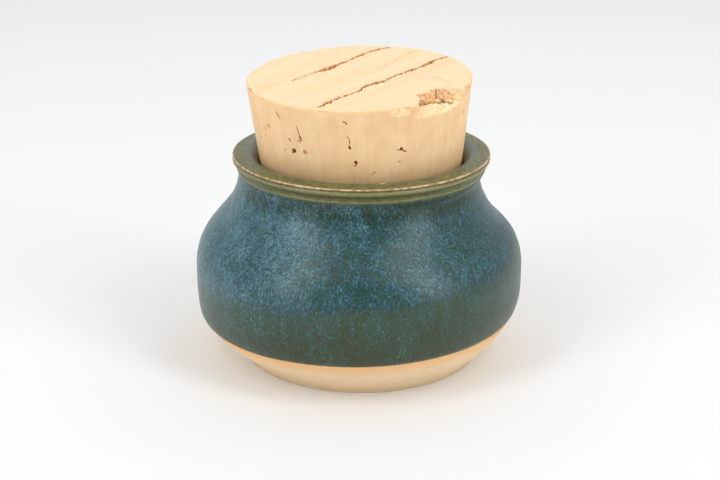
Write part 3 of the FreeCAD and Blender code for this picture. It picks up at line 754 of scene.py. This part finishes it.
def natural_cork():
    """Pale cut cork: streaked sides, faint growth lines on top, brown torn hollows. Painted shade
    darkens the hollows with depth, the chip's fissures and the side low down, and a painted
    highlight runs along the top edge.
    """
    f = Finish("natural_cork")
    own = f.stretched(f.place, (1, 1, 1), CORK_PLACE.to_euler(), CORK_PLACE.translation, "TEXTURE")
    x, y, z = f.parts(own)
    radius = f.from_axis(x, y)
    below_top = f.sums("SUBTRACT", CORK_RISE, z)
    ideal = f.sums("SUBTRACT", TOP_RADIUS, f.sums("MULTIPLY", below_top, TAPER))
    inside = f.sums("SUBTRACT", ideal, radius)
    depth = f.sums("MINIMUM", inside, below_top)
    on_top = f.both(f.fade(below_top, 0.5 * MM, 0.2 * MM), f.fade(inside, 0.1 * MM, 0.5 * MM))

    upright = f.stretched(own, (1, 1, 0.04))
    streaks = f.grain(upright, 1.5 * MM, 3, 0.6)
    hairs = f.grain(upright, 0.5 * MM, 2, 0.6)
    mottle = f.grain(own, 5 * MM, 4, 0.6)
    tone = f.sums("ADD", f.sums("MULTIPLY", streaks, 0.38), f.sums("MULTIPLY", mottle, 0.62))
    side = f.mix(f.fade(tone, 0.36, 0.64), shade(227, 188, 141), shade(235, 200, 155))
    # painted shade: the side is painted darker and browner towards its foot, where it sinks into the
    # shade of the jar's lip; the fine dark lines there are the cork's grain
    low = f.fade(z, 13 * MM, 4 * MM)
    side = f.mix(f.sums("MULTIPLY", f.both(low, f.fade(hairs, 0.54, 0.68)), 0.4), side,
                 shade(200, 152, 102))
    side = f.mix(f.sums("MULTIPLY", low, 0.35), side, shade(216, 172, 120))

    grown = f.stretched(own, (1, 1, 1), (0, 0, -GRAIN_HEADING))
    lines = f.grain(f.stretched(grown, (0.12, 1, 1)), 1.3 * MM, 3, 0.6)
    bands = f.grain(f.stretched(grown, (0.10, 1, 1)), 5 * MM, 3, 0.5)
    top = f.mix(f.fade(bands, 0.35, 0.65), shade(239, 201, 160), shade(243, 207, 170))
    top = f.mix(f.sums("MULTIPLY", f.fade(lines, 0.60, 0.72), 0.5), top, shade(234, 184, 128))
    body = f.mix(on_top, side, top)

    # painted highlight: a thin orange line along the rounded top edge
    rim = f.both(f.fade(below_top, 1.0 * MM, 0.6 * MM), f.fade(inside, 0.7 * MM, 0.3 * MM))
    body = f.mix(f.sums("MULTIPLY", rim, 0.30), body, shade(242, 190, 130))

    outward = f.sums("ADD", f.sums("MULTIPLY", x, math.cos(CHIP_HEADING)),
                     f.sums("MULTIPLY", y, math.sin(CHIP_HEADING)))
    across = f.sums("ADD", f.sums("MULTIPLY", x, -math.sin(CHIP_HEADING)),
                    f.sums("MULTIPLY", y, math.cos(CHIP_HEADING)))
    over_floor = f.sums("MULTIPLY_ADD", f.sums("SUBTRACT", outward, TOP_RADIUS - CHIP_INSET),
                        math.tan(CHIP_SLOPE), CHIP_DEPTH + 1.0 * MM)
    chip_wall = TOP_RADIUS - CHIP_INSET
    chip = f.both(f.fade(outward, chip_wall - 0.9 * MM, chip_wall - 0.4 * MM),
                  f.fade(f.sums("SUBTRACT", over_floor, below_top), -0.4 * MM, 0.4 * MM))
    chip = f.both(chip, f.band(across, (-11, -9, 11, 12)))
    beside = f.both(f.band(across, (-17, -16, -9, -8)), f.fade(below_top, 3.6 * MM, 3.0 * MM))
    beside = f.both(beside, f.fade(outward, 22 * MM, 23 * MM))
    chip = f.sums("MAXIMUM", chip, beside)
    # brown of torn cork in the cracks and pits, with painted shade that darkens them with depth
    hollow_brown_and_shade = f.both(f.fade(depth, 0.12 * MM, 0.35 * MM), f.sums("SUBTRACT", 1.0, chip))
    deep_shade = f.fade(depth, 0.7 * MM, 1.7 * MM)
    brown = f.mix(f.fade(f.grain(own, 0.9 * MM, 3, 0.7), 0.35, 0.65), shade(228, 176, 118),
                  shade(184, 124, 70))
    brown = f.mix(f.sums("MULTIPLY", deep_shade, 0.85), brown, shade(74, 42, 22))
    body = f.mix(f.sums("MULTIPLY", hollow_brown_and_shade, 0.92), body, brown)
    torn = f.both(chip, f.fade(depth, 0.15 * MM, 0.45 * MM))
    # painted shade: more dark crumbs at the foot of the chip's inner wall, and dark brown in the
    # fissures below the chip's floor
    near_wall_shade = f.fade(outward, chip_wall + 3.5 * MM, chip_wall)
    crumb = f.sums("SUBTRACT", f.grain(own, 1.0 * MM, 4, 0.65), f.sums("MULTIPLY", near_wall_shade, 0.08))
    crumbs = f.mix(f.fade(crumb, 0.34, 0.50), shade(222, 168, 112), shade(246, 214, 170))
    split = f.sums("MULTIPLY_ADD", over_floor, -1.0, below_top)
    crumbs = f.mix(f.fade(split, -0.5 * MM, 0.2 * MM), crumbs, shade(110, 62, 30))
    body = f.mix(torn, body, crumbs)

    f.feed(f.shader.inputs["Base Color"], body)
    f.shader.inputs["Roughness"].default_value = 0.85
    f.shader.inputs["Specular IOR Level"].default_value = 0.25
    relief = f.sums("ADD", f.sums("MULTIPLY", streaks, 0.6), f.grain(own, 0.5 * MM, 3, 0.7))
    f.feed(f.shader.inputs["Normal"], f.bump(relief, 0.06 * MM, 0.5))
    return f.material


# ---------------------------------------------------------------- the setting

def soft_floor():
    """A pale floor that the jar stands on. To the camera it glows a little by itself."""
    bpy.ops.object.select_all(action="DESELECT")
    bpy.ops.mesh.primitive_plane_add(size=12, location=(0, 0, 0))
    floor = bpy.context.active_object
    floor.name = "floor"
    f = Finish("pale_floor")
    f.shader.inputs["Base Color"].default_value = shade(246, 246, 246)
    f.shader.inputs["Roughness"].default_value = 0.9
    f.shader.inputs["Specular IOR Level"].default_value = 0.0
    seen = f.node("ShaderNodeBsdfDiffuse")
    seen.inputs["Color"].default_value = shade(242, 243, 244)
    glow = f.node("ShaderNodeEmission")
    f.feed(glow.inputs["Color"], f.mix(f.fade(f.parts(f.place)[1], -0.08, 0.5, smooth=False),
                                       shade(199, 189, 175), shade(238, 233, 229)))
    half = f.node("ShaderNodeMixShader")
    half.inputs[0].default_value = 0.25
    f.feed(half.inputs[1], seen.outputs[0])
    f.feed(half.inputs[2], glow.outputs[0])
    either = f.node("ShaderNodeMixShader")
    f.feed(either.inputs[0], f.node("ShaderNodeLightPath").outputs["Is Camera Ray"])
    f.feed(either.inputs[1], f.shader.outputs[0])
    f.feed(either.inputs[2], half.outputs[0])
    f.feed(f.tree.nodes["Material Output"].inputs["Surface"], either.outputs[0])
    floor.data.materials.append(f.material)


def studio_light():
    """Soft light from all round, weaker from the front, with a lamp overhead and two windows."""
    world = bpy.data.worlds.new("studio")
    bpy.context.scene.world = world
    world.use_nodes = True
    nodes, links = world.node_tree.nodes, world.node_tree.links
    background = nodes["Background"]
    background.inputs["Color"].default_value = (0.95, 0.975, 1.0, 1)
    facing = nodes.new("ShaderNodeTexCoord")
    parts = nodes.new("ShaderNodeSeparateXYZ")
    strength = nodes.new("ShaderNodeMapRange")
    for place, value in ((1, -1.0), (2, 1.0), (3, 0.24), (4, 0.86)):
        strength.inputs[place].default_value = value
    links.new(facing.outputs["Generated"], parts.inputs[0])
    links.new(parts.outputs["Y"], strength.inputs[0])
    links.new(strength.outputs[0], background.inputs["Strength"])
    seen = nodes.new("ShaderNodeBackground")
    seen.inputs["Color"].default_value = shade(241, 241, 241)
    either = nodes.new("ShaderNodeMixShader")
    path = nodes.new("ShaderNodeLightPath")
    links.new(path.outputs["Is Camera Ray"], either.inputs[0])
    links.new(background.outputs[0], either.inputs[1])
    links.new(seen.outputs[0], either.inputs[2])
    links.new(either.outputs[0], nodes["World Output"].inputs["Surface"])
    for name, place, size, power, tint in (
            ("overhead", (0.02, 0.12, 0.9), (0.9, 0.9), 2.5, (1.0, 0.99, 0.97)),
            ("left_window", (-0.63, -0.51, 0.60), (0.34, 1.15), 5.2, (0.97, 0.99, 1.0)),
            ("right_window", (0.67, -0.47, 0.60), (0.30, 1.15), 5.6, (0.97, 0.99, 1.0))):
        light = bpy.data.lights.new(name, "AREA")
        light.shape = "RECTANGLE"
        light.size, light.size_y = size
        light.energy = power
        light.color = tint
        lamp = bpy.data.objects.new(name, light)
        bpy.context.scene.collection.objects.link(lamp)
        lamp.location = place
        aim = Vector((0, 0, 0.035)) - Vector(place)
        lamp.rotation_euler = aim.to_track_quat("-Z", "Y").to_euler()


def camera():
    lens = bpy.data.cameras.new("camera")
    lens.lens = 70.16
    lens.sensor_width = 36
    lens.clip_end = 20
    eye = bpy.data.objects.new("camera", lens)
    bpy.context.scene.collection.objects.link(eye)
    eye.location = (-0.00036, -0.360, 0.16255)
    eye.rotation_euler = Euler((math.radians(90 - 20.17), 0, 0))
    bpy.context.scene.camera = eye


def main():
    finish_piece(make_jar(), glazed_stoneware(), "jar")
    finish_piece(make_cork(), natural_cork(), "cork")
    soft_floor()
    studio_light()
    camera()
    bpy.context.scene.view_settings.view_transform = "Standard"


main()
